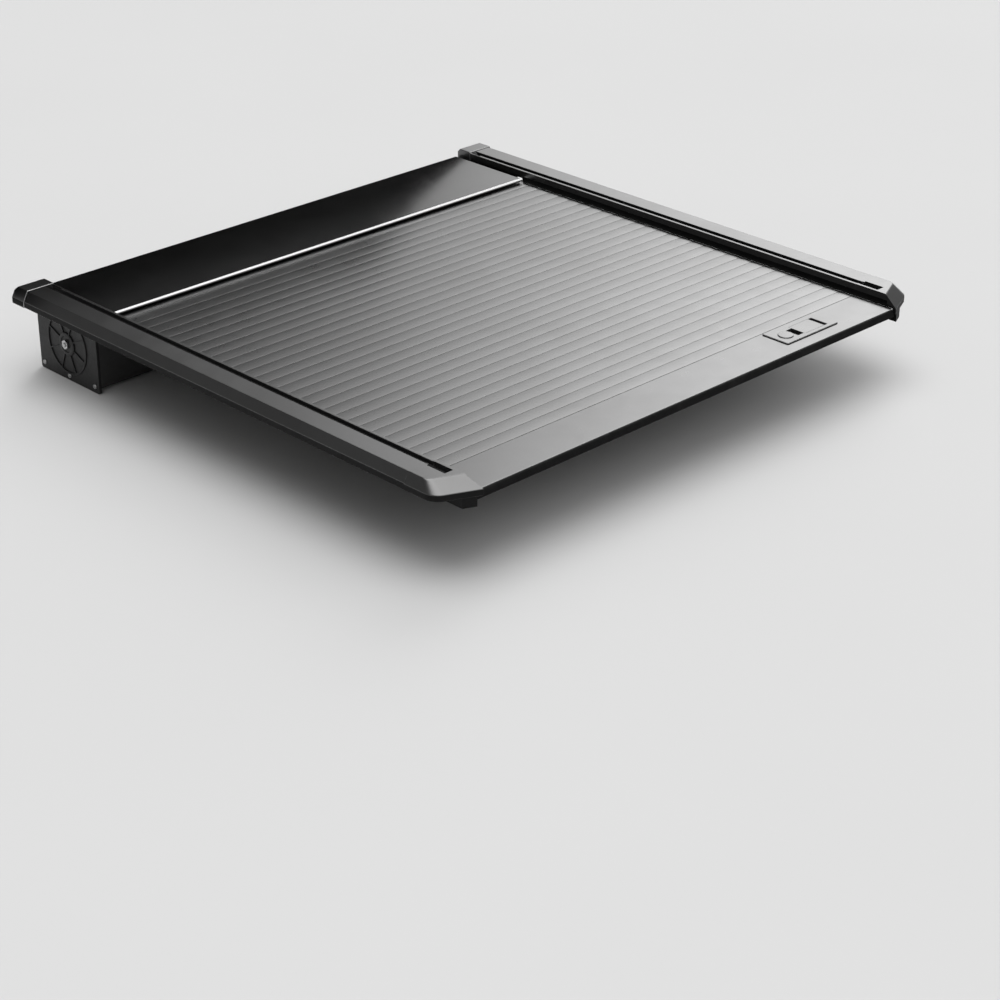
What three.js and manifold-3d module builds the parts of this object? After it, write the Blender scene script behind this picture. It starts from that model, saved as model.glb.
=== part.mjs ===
// Retractable slatted tonneau cover for a pickup bed.
// Millimetres. +X is the truck's right, +Y points to the cab, +Z is up.
// X = 0 is the centre plane, Y = 0 the rear edge of the pull bar, Z = 0 the bed-rail tops.

import * as THREE from 'three';
import { mergeVertices } from 'three/addons/utils/BufferGeometryUtils.js';
import Module from 'manifold-3d';

const wasm = await Module();
wasm.setup();

// ---------------------------------------------------------------- driving dimensions

const GAP = 0.3; // air left between pieces that touch

// side rail section, right side
const INNER_WALL_X = 700.5;
const RAIL_TOP_Z = 38;
const TOP_EDGE_X = 775;
const SIDE_X = 789;
const SHOULDER_Z = 15.5;
const LEG_X = 731; // outer face of the leg that hangs inside the bed
const LEG_BOTTOM_Z = -24;
const RAIL_REAR_Y = 114;
const RAIL_FRONT_Y = 1480;
const WALL = 4; // rail wall thickness
// the rear cap's inner corner, which reaches over the pull bar
const CAP_FLARE = { x: 688.5, y0: -19.2, y1: 19, underZ: 10.5 };

// accessory T-slot along the rail top
const SLOT = { inner: 707.5, outer: 724.5, lipZ: 34, floorZ: 26, pocketInner: 704.2, pocketOuter: 728 };
const REAR_OPENING = { x0: 706.5, x1: 730.5, y0: 53, y1: 108, z0: 25.5 };
const FRONT_OPENING = { x0: 703.5, x1: 725, y0: 1443, y1: 1476, z0: SLOT.floorZ };

// channel for the slat ends, the groove of the bolt tips in its back wall, and the seal recess above
const CHANNEL = { x: 718, z0: -7, z1: 8.5 };
const BOLT_GROOVE = { x: 727.5, y1: 1190, z0: -3.4, z1: 3.8 };
const RECESS = { x: 706, z1: 22.8 };
const SEAL_REAR_Y = 6; // rear end of the seal, still under the cap's slope

// curtain
const SLAT_COUNT = 29;
const SLAT_PITCH = 40;
const SLAT_GROOVE = 0.6;
const SLAT_TOP_Z = 6;
const SLAT_CROWN = 0.6;
const SLAT_BOTTOM_Z = -3;
const SLAT_HALF_LENGTH = 715;
const PULL_BAR_DEPTH = 121.5;

// canister at the cab end
const CANISTER = { y0: 1290, y1: 1528.5, z0: -187.5, wall: 2.5, radius: 32, halfLength: 716 };
const MOUTH_Z = -8.5; // top of the rear wall, under the curtain
const CANISTER_TOP_Z = 8.2;
const LEG_END_Y = 1284; // the rail's leg and channel stop here
const LEG_CUT_Z = 9;
const END_PLATE = { x0: 716.3, x1: 724, topZ: 8.5 };
const LID = { halfWidth: 694.5, y0: 1272, y1: 1531, topZ: 18, sheet: 2.2 };
const SPOOL = { y: 1409, z: -92, radius: 42, bore: 39, halfLength: 706, hub: 6 };
const SHAFT_RADIUS = 8;

// latch on the pull bar
const LATCH = { x0: 347, x1: 533, y0: 33, y1: 113, seatZ: 6.3, flangeZ: 10, plateZ: 11.3 };
const TUB = { x0: 357, x1: 523, y0: 40.5, y1: 99.5, z0: -16 };
const WELL = { x0: 402.5, x1: 507, y0: 44.5, y1: 95.5, z0: -12.5 };
const FINGER_SLOT = { x1: 424, y0: 48.5, y1: 86.5 }; // its part left of the handle, as cut in the plate
const FLAP = { x0: 423.5, x1: 494.5 };
const HINGE = { x: 500, z: 5, pinRadius: 1.8, knuckleRadius: 3.8 };
const LOCK = { x: 382, y: 69.5, barrelRadius: 11, coverRadius: 19, pivotY: 86 };
const BOLT = { y: 22, z: 0.2, radius: 3, tipX: 726, innerX: 459, leftInnerX: 421 };
const CAM = { x: 440, y: 22 };

const SEGMENTS = 48; // facets round a full circle

// ---------------------------------------------------------------- materials

const finish = (color, roughness, metalness) =>
  new THREE.MeshStandardMaterial({ color, roughness, metalness });

const MATERIALS = {
  powderCoat: () => finish(0x77797a, 0.5, 0.35),
  slatCoat: () => finish(0x7d7f80, 0.42, 0.45),
  polished: () => finish(0xd9dbdc, 0.18, 1),
  sheetMetal: () => finish(0x3b3d3f, 0.55, 0.5),
  aluminium: () => finish(0xa9acae, 0.4, 0.9),
  steel: () => finish(0x8d9094, 0.35, 1),
  rubber: () => finish(0x101010, 0.85, 0),
  foam: () => finish(0x1b1b1b, 0.95, 0),
  plastic: () => finish(0x141414, 0.6, 0),
  webbing: () => finish(0x202224, 0.9, 0),
};

// ---------------------------------------------------------------- shape helpers

const outline = (points) => new THREE.Shape(points.map(([a, b]) => new THREE.Vector2(a, b)));

const prism = (shape, depth, basis, origin) => {
  const geometry = new THREE.ExtrudeGeometry(shape, { depth, bevelEnabled: false, curveSegments: 12 });
  const matrix = new THREE.Matrix4().makeBasis(...basis.map((v) => new THREE.Vector3(...v)));
  geometry.applyMatrix4(matrix.setPosition(...origin));
  return geometry;
};

// (y, z) outline extruded along X
const alongX = (shape, x0, x1) => prism(shape, x1 - x0, [[0, 1, 0], [0, 0, 1], [1, 0, 0]], [x0, 0, 0]);
// (x, z) outline extruded along Y
const alongY = (shape, y0, y1) => prism(shape, y1 - y0, [[1, 0, 0], [0, 0, 1], [0, -1, 0]], [0, y1, 0]);
// (x, y) outline extruded along Z
const alongZ = (shape, z0, z1) => prism(shape, z1 - z0, [[1, 0, 0], [0, 1, 0], [0, 0, 1]], [0, 0, z0]);

const roundedRect = (x0, x1, y0, y1, radius) => {
  const shape = new THREE.Shape();
  shape.moveTo(x0 + radius, y0);
  shape.lineTo(x1 - radius, y0);
  shape.absarc(x1 - radius, y0 + radius, radius, -Math.PI / 2, 0, false);
  shape.lineTo(x1, y1 - radius);
  shape.absarc(x1 - radius, y1 - radius, radius, 0, Math.PI / 2, false);
  shape.lineTo(x0 + radius, y1);
  shape.absarc(x0 + radius, y1 - radius, radius, Math.PI / 2, Math.PI, false);
  shape.lineTo(x0, y0 + radius);
  shape.absarc(x0 + radius, y0 + radius, radius, Math.PI, Math.PI * 1.5, false);
  return shape;
};

const solidOf = (geometry) => {
  const bare = geometry.clone();
  bare.deleteAttribute('normal');
  bare.deleteAttribute('uv');
  const merged = mergeVertices(bare, 1e-4);
  const vertProperties = new Float32Array(merged.attributes.position.array);
  const triVerts = new Uint32Array(merged.index.array);
  return new wasm.Manifold(new wasm.Mesh({ numProp: 3, vertProperties, triVerts }));
};

const geometryOf = (solid) => {
  const mesh = solid.getMesh();
  const geometry = new THREE.BufferGeometry();
  geometry.setAttribute('position', new THREE.BufferAttribute(mesh.vertProperties, 3));
  geometry.setIndex(new THREE.BufferAttribute(mesh.triVerts, 1));
  geometry.computeVertexNormals();
  return geometry;
};

const block = (x0, x1, y0, y1, z0, z1) => {
  const geometry = new THREE.BoxGeometry(x1 - x0, y1 - y0, z1 - z0);
  return geometry.translate((x0 + x1) / 2, (y0 + y1) / 2, (z0 + z1) / 2);
};

// cylinders along one axis, from end to end, at the two other coordinates of their axis
const cylinderX = (radius, x0, x1, y, z, sides = SEGMENTS) => {
  const geometry = new THREE.CylinderGeometry(radius, radius, x1 - x0, sides);
  return geometry.rotateZ(Math.PI / 2).translate((x0 + x1) / 2, y, z);
};

const cylinderY = (radius, y0, y1, x, z, sides = SEGMENTS) => {
  const geometry = new THREE.CylinderGeometry(radius, radius, y1 - y0, sides);
  return geometry.translate(x, (y0 + y1) / 2, z);
};

const cylinderZ = (radius, z0, z1, x, y, sides = SEGMENTS) => {
  const geometry = new THREE.CylinderGeometry(radius, radius, z1 - z0, sides);
  return geometry.rotateX(Math.PI / 2).translate(x, y, (z0 + z1) / 2);
};

const cut = (solid, ...geometries) => geometries.reduce((rest, g) => rest.subtract(solidOf(g)), solid);
const join = (solid, ...geometries) => geometries.reduce((rest, g) => rest.add(solidOf(g)), solid);

// ---------------------------------------------------------------- assembly

const tonneau = new THREE.Group();

const addMesh = (name, shape, material) => {
  const geometry = shape instanceof THREE.BufferGeometry ? shape : geometryOf(shape);
  const mesh = new THREE.Mesh(geometry, MATERIALS[material]());
  mesh.name = name;
  tonneau.add(mesh);
};

// Adds a right-hand solid and its mirror image.
const addPair = (name, solid, material) => {
  addMesh(`${name}_right`, solid, material);
  addMesh(`${name}_left`, solid.mirror([1, 0, 0]), material);
};

// ---------------------------------------------------------------- side rails

const railOutline = (proud) =>
  outline([
    [INNER_WALL_X, LEG_BOTTOM_Z],
    [LEG_X, LEG_BOTTOM_Z],
    [LEG_X, 0],
    [SIDE_X + proud, 0],
    [SIDE_X + proud, SHOULDER_Z],
    [TOP_EDGE_X + proud, RAIL_TOP_Z + proud],
    [INNER_WALL_X, RAIL_TOP_Z + proud],
  ]);

// The neck and the wider pocket of the T-slot.
const slotCutters = (y0, y1) => [
  block(SLOT.inner, SLOT.outer, y0, y1, SLOT.lipZ - 1, RAIL_TOP_Z + 5),
  block(SLOT.pocketInner, SLOT.pocketOuter, y0, y1, SLOT.floorZ, SLOT.lipZ),
];

// The channel of the slat ends, its bolt groove and the seal recess, open towards the bed.
const channelCutters = (y0, y1, recessY0 = y0) => [
  block(INNER_WALL_X - 1, CHANNEL.x, y0, y1, CHANNEL.z0, CHANNEL.z1),
  block(INNER_WALL_X - 1, RECESS.x, recessY0, y1, CHANNEL.z0, RECESS.z1),
  block(CHANNEL.x - 1, BOLT_GROOVE.x, y0, Math.min(y1, BOLT_GROOVE.y1), BOLT_GROOVE.z0, BOLT_GROOVE.z1),
];

// Room for the canister under the front of the rail.
const canisterRoom = () =>
  block(INNER_WALL_X - 1, LEG_X + 0.5, LEG_END_Y, CANISTER.y1 + 10, LEG_BOTTOM_Z - 1, LEG_CUT_Z);

const rail = () => {
  const shape = railOutline(0);
  const chamberX = LEG_X + 1;
  shape.holes.push(
    new THREE.Path([
      new THREE.Vector2(chamberX, WALL),
      new THREE.Vector2(SIDE_X - WALL, WALL),
      new THREE.Vector2(SIDE_X - WALL, SHOULDER_Z - 1),
      new THREE.Vector2(TOP_EDGE_X - WALL, RAIL_TOP_Z - WALL),
      new THREE.Vector2(chamberX, RAIL_TOP_Z - WALL),
    ]),
    new THREE.Path([
      new THREE.Vector2(INNER_WALL_X + WALL, LEG_BOTTOM_Z + WALL),
      new THREE.Vector2(LEG_X - WALL, LEG_BOTTOM_Z + WALL),
      new THREE.Vector2(LEG_X - WALL, CHANNEL.z0 - WALL),
      new THREE.Vector2(INNER_WALL_X + WALL, CHANNEL.z0 - WALL),
    ]),
  );
  const { x0, x1, y0, y1, z0 } = FRONT_OPENING;
  return cut(
    solidOf(alongY(shape, RAIL_REAR_Y, RAIL_FRONT_Y)),
    ...slotCutters(RAIL_REAR_Y - 1, y1),
    ...channelCutters(RAIL_REAR_Y - 1, RAIL_FRONT_Y + 1),
    block(x0, x1, y0, y1, z0, RAIL_TOP_Z + 5),
    canisterRoom(),
  );
};

const frontCap = () => {
  const PROUD = 3;
  const FRONT_Y = 1530;
  const NOSE = 9;
  const body = solidOf(alongY(railOutline(PROUD), RAIL_FRONT_Y + GAP, FRONT_Y));
  const nose = outline([
    [FRONT_Y + 1, RAIL_TOP_Z + PROUD - NOSE - 1],
    [FRONT_Y + 1, RAIL_TOP_Z + PROUD + 1],
    [FRONT_Y - NOSE - 1, RAIL_TOP_Z + PROUD + 1],
  ]);
  return cut(body, canisterRoom(), alongX(nose, INNER_WALL_X - 1, SIDE_X + PROUD + 1));
};

// Plan of the rear cap: a flare towards the tailgate's middle, a slanted rear edge, then a round corner.
const rearCapPlan = () => {
  const SLANT = THREE.MathUtils.degToRad(24.3);
  const CORNER = 40;
  const side = SIDE_X - 0.5;
  const startX = CAP_FLARE.x;
  const REAR_Y = CAP_FLARE.y0;
  const bendX = side - CORNER * (1 - Math.sin(SLANT));
  const bendY = REAR_Y + (bendX - startX) * Math.tan(SLANT);
  const centreY = bendY + CORNER * Math.cos(SLANT);
  const shape = new THREE.Shape();
  shape.moveTo(INNER_WALL_X - 0.5, RAIL_REAR_Y);
  shape.lineTo(INNER_WALL_X - 0.5, CAP_FLARE.y1);
  shape.lineTo(startX, REAR_Y);
  shape.lineTo(bendX, bendY);
  shape.absarc(side - CORNER, centreY, CORNER, SLANT - Math.PI / 2, 0, false);
  shape.lineTo(SIDE_X + 2, centreY + 40);
  shape.lineTo(SIDE_X + 2, RAIL_REAR_Y);
  return shape;
};

const rearCap = () => {
  const PROUD = 0.8;
  const body = join(
    solidOf(alongY(railOutline(PROUD), -21, RAIL_REAR_Y - GAP)),
    block(CAP_FLARE.x - 1, INNER_WALL_X + 1, -21, CAP_FLARE.y1, 0, RAIL_TOP_Z + PROUD),
  );
  const plan = solidOf(alongZ(rearCapPlan(), LEG_BOTTOM_Z - 1, RAIL_TOP_Z + 5));
  // the sloped rear face passes through these three points
  const high = new THREE.Vector3(702, 25.3, RAIL_TOP_Z + PROUD);
  const outer = new THREE.Vector3(765, 53.8, RAIL_TOP_Z + PROUD);
  const low = new THREE.Vector3(702, -15.5, 13);
  const slope = new THREE.Plane().setFromCoplanarPoints(high, outer, low);
  const down = slope.normal.z > 0 ? -1 : 1;
  const { x0, x1, y0, y1, z0 } = REAR_OPENING;
  const shaped = body.intersect(plan).trimByPlane(slope.normal.clone().multiplyScalar(down).toArray(),
    -slope.constant * down);
  return cut(
    shaped,
    block(x0, x1, y0, y1, z0, RAIL_TOP_Z + 5),
    ...slotCutters(y1 - 1, RAIL_REAR_Y + 1),
    ...channelCutters(-0.7, RAIL_REAR_Y + 1, SEAL_REAR_Y - 0.5),
    block(CAP_FLARE.x - 1, INNER_WALL_X, -8.6, CAP_FLARE.y1 + 1, -1, CAP_FLARE.underZ),
    block(CHANNEL.x - 1, BOLT.tipX + 8, BOLT.y - 6, BOLT.y + 6, BOLT.z - 4.5, BOLT.z + 4.5),
  );
};

const guideSeal = () => {
  const shape = outline([
    [INNER_WALL_X + GAP, 6.6],
    [INNER_WALL_X + 2.5, 6.6],
    [RECESS.x - GAP, 8.8],
    [RECESS.x - GAP, RECESS.z1 - GAP],
    [INNER_WALL_X + 1.5, RECESS.z1 - GAP],
    [INNER_WALL_X + 1.5, 12],
    [INNER_WALL_X + GAP, 9],
  ]);
  return solidOf(alongY(shape, SEAL_REAR_Y, LID.y0 - 3));
};

const bedSeal = () => solidOf(block(735, 785, 58, RAIL_FRONT_Y - 4, -3.3, -GAP));

addPair('rail', rail(), 'powderCoat');
addPair('rear_cap', rearCap(), 'powderCoat');
addPair('front_cap', frontCap(), 'powderCoat');
addPair('guide_seal', guideSeal(), 'rubber');
addPair('bed_seal', bedSeal(), 'foam');

// ---------------------------------------------------------------- curtain

const slatOutline = (y0) => {
  const y1 = y0 + SLAT_PITCH - SLAT_GROOVE;
  const STEPS = 6;
  const crown = Array.from({ length: STEPS + 1 }, (_, i) => {
    const t = i / STEPS;
    return [y1 + (y0 - y1) * t, SLAT_TOP_Z - SLAT_CROWN * (2 * t - 1) ** 2];
  });
  return outline([[y0, SLAT_BOTTOM_Z + 1], [y0 + 1, SLAT_BOTTOM_Z], [y1 - 1, SLAT_BOTTOM_Z],
    [y1, SLAT_BOTTOM_Z + 1], ...crown]);
};

for (let i = 0; i < SLAT_COUNT; i += 1) {
  const y0 = PULL_BAR_DEPTH + SLAT_GROOVE + i * SLAT_PITCH;
  const name = `slat_${String(i + 1).padStart(2, '0')}`;
  addMesh(name, alongX(slatOutline(y0), -SLAT_HALF_LENGTH, SLAT_HALF_LENGTH), 'slatCoat');
}

// Webbing that ties the last slat to the spool: a straight run, then a wrap over the tube.
const leader = () => {
  const THICKNESS = 1.4;
  const CLEAR = 0.5;
  const inner = SPOOL.radius + CLEAR;
  const startY = PULL_BAR_DEPTH + SLAT_COUNT * SLAT_PITCH + 2;
  const startZ = SLAT_BOTTOM_Z - CLEAR;
  const leave = THREE.MathUtils.degToRad(112);
  const end = THREE.MathUtils.degToRad(15);
  const shape = new THREE.Shape();
  shape.moveTo(startY, startZ);
  shape.lineTo(startY + 10, startZ);
  shape.absarc(SPOOL.y, SPOOL.z, inner + THICKNESS, leave, end, true);
  shape.absarc(SPOOL.y, SPOOL.z, inner, end, leave, false);
  shape.lineTo(startY + 10, startZ - THICKNESS);
  shape.lineTo(startY, startZ - THICKNESS);
  return alongX(shape, -600, 600);
};

addMesh('curtain_leader', leader(), 'webbing');

// ---------------------------------------------------------------- pull bar

const pullBar = () => {
  const SKIN = 2.2;
  const EDGE = 2.5;
  const y1 = PULL_BAR_DEPTH;
  const shape = outline([
    [0, SLAT_BOTTOM_Z],
    [EDGE, SLAT_BOTTOM_Z],
    [EDGE, SLAT_TOP_Z - SKIN],
    [y1 - EDGE, SLAT_TOP_Z - SKIN],
    [y1 - EDGE, SLAT_BOTTOM_Z],
    [y1, SLAT_BOTTOM_Z],
    [y1, SLAT_TOP_Z - 0.8],
    [y1 - 2, SLAT_TOP_Z],
    [2, SLAT_TOP_Z],
    [0, SLAT_TOP_Z - 1],
  ]);
  return cut(
    solidOf(alongX(shape, -SLAT_HALF_LENGTH, SLAT_HALF_LENGTH)),
    block(TUB.x0 - GAP, TUB.x1 + GAP, TUB.y0 - GAP, TUB.y1 + GAP, 0, SLAT_TOP_Z + 1),
  );
};

const tailgateSeal = () =>
  alongX(
    outline([[-8, -12], [-2.5, -12], [-GAP, -6], [-GAP, SLAT_TOP_Z - 1.2], [-4, SLAT_TOP_Z - 1.2], [-6, 2]]),
    -INNER_WALL_X + 2.5,
    INNER_WALL_X - 2.5,
  );

addMesh('pull_bar', pullBar(), 'slatCoat');
addMesh('tailgate_seal', tailgateSeal(), 'rubber');

// ---------------------------------------------------------------- latch

const latchBase = () => {
  const plan = roundedRect(LATCH.x0, LATCH.x1, LATCH.y0, LATCH.y1, 4);
  const flange = solidOf(alongZ(plan, LATCH.seatZ, LATCH.flangeZ));
  return cut(
    join(flange, block(TUB.x0, TUB.x1, TUB.y0, TUB.y1, TUB.z0, LATCH.seatZ + 1)),
    block(WELL.x0, WELL.x1, WELL.y0, WELL.y1, WELL.z0, LATCH.plateZ),
    cylinderZ(LOCK.barrelRadius + GAP, WELL.z0, LATCH.plateZ, LOCK.x, LOCK.y),
    cylinderZ(2.6, 4, LATCH.plateZ, LOCK.x, LOCK.pivotY, 16),
    cylinderY(HINGE.pinRadius + GAP, TUB.y0 + 1, TUB.y1 - 1, HINGE.x, HINGE.z, 24),
  );
};

const latchPlate = () =>
  cut(
    solidOf(alongZ(roundedRect(LATCH.x0 + 1, LATCH.x1 - 1, LATCH.y0 + 1, LATCH.y1 - 1, 4),
      LATCH.flangeZ + GAP, LATCH.plateZ)),
    block(FLAP.x0 - 0.5, WELL.x1, WELL.y0, WELL.y1, LATCH.flangeZ, LATCH.plateZ + 1),
    block(WELL.x0, FINGER_SLOT.x1, FINGER_SLOT.y0, FINGER_SLOT.y1, LATCH.flangeZ, LATCH.plateZ + 1),
    cylinderZ(LOCK.barrelRadius + 1, LATCH.flangeZ, LATCH.plateZ + 1, LOCK.x, LOCK.y),
    cylinderZ(2.6, LATCH.flangeZ, LATCH.plateZ + 1, LOCK.x, LOCK.pivotY, 16),
  );

const latchHandle = () => {
  const y0 = WELL.y0 + 0.5;
  const y1 = WELL.y1 - 0.5;
  const knuckleTop = HINGE.z + HINGE.knuckleRadius;
  const flap = solidOf(block(FLAP.x0, FLAP.x1, y0, y1, LATCH.plateZ - 3, LATCH.plateZ));
  return cut(
    join(
      flap,
      block(FLAP.x0, FLAP.x0 + 3, y0, y1, LATCH.plateZ - 9, LATCH.plateZ),
      cylinderY(HINGE.knuckleRadius, y0 + 6, y1 - 6, HINGE.x, HINGE.z, 32),
      block(HINGE.x - 12, HINGE.x, y0 + 6, y1 - 6, HINGE.z, knuckleTop),
    ),
    cylinderY(HINGE.pinRadius + GAP, y0, y1, HINGE.x, HINGE.z, 24),
  );
};

const handlePin = () => cylinderY(HINGE.pinRadius, TUB.y0 + 1.5, TUB.y1 - 1.5, HINGE.x, HINGE.z, 24);

const lockBarrel = () =>
  cut(
    solidOf(cylinderZ(LOCK.barrelRadius, WELL.z0 + GAP, LATCH.plateZ - 0.6, LOCK.x, LOCK.y)),
    block(LOCK.x - 1.2, LOCK.x + 1.2, LOCK.y - 4.5, LOCK.y + 4.5, 4, LATCH.plateZ),
  );

const lockCover = () => {
  const DISC_Z0 = LATCH.plateZ + GAP;
  const DISC_Z1 = LATCH.plateZ + 1.9;
  const profile = [[0, DISC_Z0], [LOCK.coverRadius, DISC_Z0], [LOCK.coverRadius, DISC_Z1 - 0.6],
    [LOCK.coverRadius - 1, DISC_Z1], [0, DISC_Z1]];
  const disc = new THREE.LatheGeometry(profile.map(([r, z]) => new THREE.Vector2(r, z)), SEGMENTS);
  disc.rotateX(Math.PI / 2).translate(LOCK.x, LOCK.y, 0);
  return join(solidOf(disc), cylinderZ(2.2, 4.4, DISC_Z0 + 1, LOCK.x, LOCK.pivotY, 16));
};

const latchCam = () => {
  const ARM = 22;
  const WIDTH = 7;
  const plate = roundedRect(CAM.x - ARM, CAM.x + ARM, CAM.y - WIDTH, CAM.y + WIDTH, WIDTH - 0.5);
  const post = cylinderZ(6, -10, SLAT_TOP_Z - 2.2 - GAP, CAM.x, CAM.y, 32);
  return join(solidOf(alongZ(plate, -7.5, -4.5)), post);
};

addMesh('latch_base', latchBase(), 'plastic');
addMesh('latch_plate', latchPlate(), 'slatCoat');
addMesh('latch_handle', latchHandle(), 'slatCoat');
addMesh('handle_pin', handlePin(), 'steel');
addMesh('lock_barrel', lockBarrel(), 'steel');
addMesh('lock_cover', lockCover(), 'slatCoat');
addMesh('latch_cam', latchCam(), 'steel');
addMesh('latch_bolt_right', cylinderX(BOLT.radius, BOLT.innerX, BOLT.tipX, BOLT.y, BOLT.z, 24), 'steel');
addMesh('latch_bolt_left', cylinderX(BOLT.radius, -BOLT.tipX, BOLT.leftInnerX, BOLT.y, BOLT.z, 24), 'steel');

// ---------------------------------------------------------------- canister

const canisterHousing = () => {
  const { y0, y1, z0, wall, radius, halfLength } = CANISTER;
  const innerRadius = radius - wall;
  const shape = new THREE.Shape();
  shape.moveTo(y0, MOUTH_Z);
  shape.lineTo(y0, z0 + radius);
  shape.absarc(y0 + radius, z0 + radius, radius, Math.PI, Math.PI * 1.5, false);
  shape.lineTo(y1 - radius, z0);
  shape.absarc(y1 - radius, z0 + radius, radius, -Math.PI / 2, 0, false);
  shape.lineTo(y1, CANISTER_TOP_Z);
  shape.lineTo(y1 - wall, CANISTER_TOP_Z);
  shape.lineTo(y1 - wall, z0 + radius);
  shape.absarc(y1 - radius, z0 + radius, innerRadius, 0, -Math.PI / 2, true);
  shape.lineTo(y0 + radius, z0 + wall);
  shape.absarc(y0 + radius, z0 + radius, innerRadius, -Math.PI / 2, -Math.PI, true);
  shape.lineTo(y0 + wall, MOUTH_Z);
  return alongX(shape, -halfLength, halfLength);
};

const endPlate = () =>
  cut(
    solidOf(alongX(roundedRect(CANISTER.y0 - 2, CANISTER.y1 + 2, CANISTER.z0 - 2, END_PLATE.topZ, 6),
      END_PLATE.x0, END_PLATE.x1)),
    cylinderX(SHAFT_RADIUS + GAP, END_PLATE.x0 - 1, END_PLATE.x1 - 3, SPOOL.y, SPOOL.z),
  );

const lid = () => {
  const { halfWidth, y0, y1, topZ, sheet } = LID;
  const FRONT_SKIRT_Z = 8.7;
  const REAR_LIP_Z = 12.4;
  const SIDE_SKIRT_Z = 9.8;
  return join(
    solidOf(block(-halfWidth, halfWidth, y0, y1, topZ - sheet, topZ)),
    block(-halfWidth, halfWidth, y1 - sheet, y1, FRONT_SKIRT_Z, topZ),
    block(-halfWidth, halfWidth, y0, y0 + sheet, REAR_LIP_Z, topZ),
    block(-halfWidth, -halfWidth + sheet, y0 + 14, y1, SIDE_SKIRT_Z, topZ),
    block(halfWidth - sheet, halfWidth, y0 + 14, y1, SIDE_SKIRT_Z, topZ),
  );
};

// Bead along the lid's rear edge, turned round both corners.
const lidTrim = () => {
  const Z0 = 12.2;
  const Z1 = LID.topZ + 1;
  const DEPTH = 4.2;
  const RETURN = 18;
  const yOuter = LID.y0 - GAP - DEPTH;
  const edge = outline([[yOuter, Z0 + 1.5], [yOuter + 1.5, Z0], [yOuter + DEPTH, Z0], [yOuter + DEPTH, Z1],
    [yOuter + 2, Z1], [yOuter, Z1 - 2]]);
  const corner = (sign) => {
    const inner = sign * (LID.halfWidth + GAP);
    const outer = inner + sign * 4;
    const [x0, x1] = [Math.min(inner, outer), Math.max(inner, outer)];
    return block(x0, x1, yOuter + 0.6, yOuter + RETURN, Z0 + 0.6, Z1 - 0.6);
  };
  const reach = LID.halfWidth + GAP + 4;
  return join(solidOf(alongX(edge, -reach, reach)), corner(1), corner(-1));
};

const lidSeal = () =>
  block(-LID.halfWidth + 1, LID.halfWidth - 1, LID.y0 + 0.2, LID.y0 + 10, SLAT_TOP_Z + 0.9, 12);

const spoolTube = () => {
  const { radius, bore, halfLength, hub, y, z } = SPOOL;
  const eye = SHAFT_RADIUS + GAP;
  const inner = halfLength - hub;
  const profile = [[eye, -halfLength], [radius, -halfLength], [radius, halfLength], [eye, halfLength],
    [eye, inner], [bore, inner], [bore, -inner], [eye, -inner], [eye, -halfLength]];
  const tube = new THREE.LatheGeometry(profile.map(([r, x]) => new THREE.Vector2(r, x)), SEGMENTS);
  return tube.rotateZ(Math.PI / 2).translate(0, y, z);
};

class SpringCoil extends THREE.Curve {
  getPoint(t) {
    const TURNS = 11;
    const COIL_RADIUS = 25;
    const X0 = -660;
    const LENGTH = 260;
    const a = t * TURNS * Math.PI * 2;
    const y = SPOOL.y + COIL_RADIUS * Math.cos(a);
    const z = SPOOL.z + COIL_RADIUS * Math.sin(a);
    return new THREE.Vector3(X0 + LENGTH * t, y, z);
  }
}

const spoolSpring = () => {
  const wire = new THREE.Shape();
  wire.absarc(0, 0, 2.2, 0, Math.PI * 2, false);
  return new THREE.ExtrudeGeometry(wire, { steps: 11 * 14, curveSegments: 7, extrudePath: new SpringCoil() });
};

addMesh('canister_housing', canisterHousing(), 'sheetMetal');
addPair('canister_end', endPlate(), 'plastic');
addMesh('canister_lid', lid(), 'powderCoat');
addMesh('lid_trim', lidTrim(), 'polished');
addMesh('lid_seal', lidSeal(), 'rubber');
addMesh('spool_tube', spoolTube(), 'aluminium');
addMesh('spool_shaft', cylinderX(SHAFT_RADIUS, 4 - END_PLATE.x1, END_PLATE.x1 - 4, SPOOL.y, SPOOL.z), 'steel');
addMesh('spool_spring', spoolSpring(), 'steel');

export default tonneau;
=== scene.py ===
"""A retractable slatted tonneau cover: detailed pieces, materials, light and camera on the CAD frame.

Lengths are in millimetres, and MM turns them into Blender's metres. +X is the truck's right, +Y the cab
and +Z up. Shapes are given for the right side, and mirrored for the left.
"""
import math

import bmesh
import bpy
from mathutils import Matrix, Vector


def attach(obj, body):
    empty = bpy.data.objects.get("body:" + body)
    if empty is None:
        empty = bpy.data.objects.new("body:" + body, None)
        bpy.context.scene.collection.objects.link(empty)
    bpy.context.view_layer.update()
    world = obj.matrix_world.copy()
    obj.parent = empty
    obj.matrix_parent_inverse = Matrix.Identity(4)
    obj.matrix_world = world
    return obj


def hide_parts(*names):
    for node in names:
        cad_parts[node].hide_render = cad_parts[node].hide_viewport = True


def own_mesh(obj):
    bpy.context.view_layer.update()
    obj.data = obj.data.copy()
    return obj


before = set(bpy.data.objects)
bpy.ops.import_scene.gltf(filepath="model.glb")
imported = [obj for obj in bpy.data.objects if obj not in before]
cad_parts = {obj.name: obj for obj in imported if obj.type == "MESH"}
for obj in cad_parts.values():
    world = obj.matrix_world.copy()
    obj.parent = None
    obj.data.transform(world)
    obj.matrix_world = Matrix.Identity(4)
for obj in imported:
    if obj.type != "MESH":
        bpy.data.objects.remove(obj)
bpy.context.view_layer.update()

MM = 0.001

SIDES = (("right", 1), ("left", -1))

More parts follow.
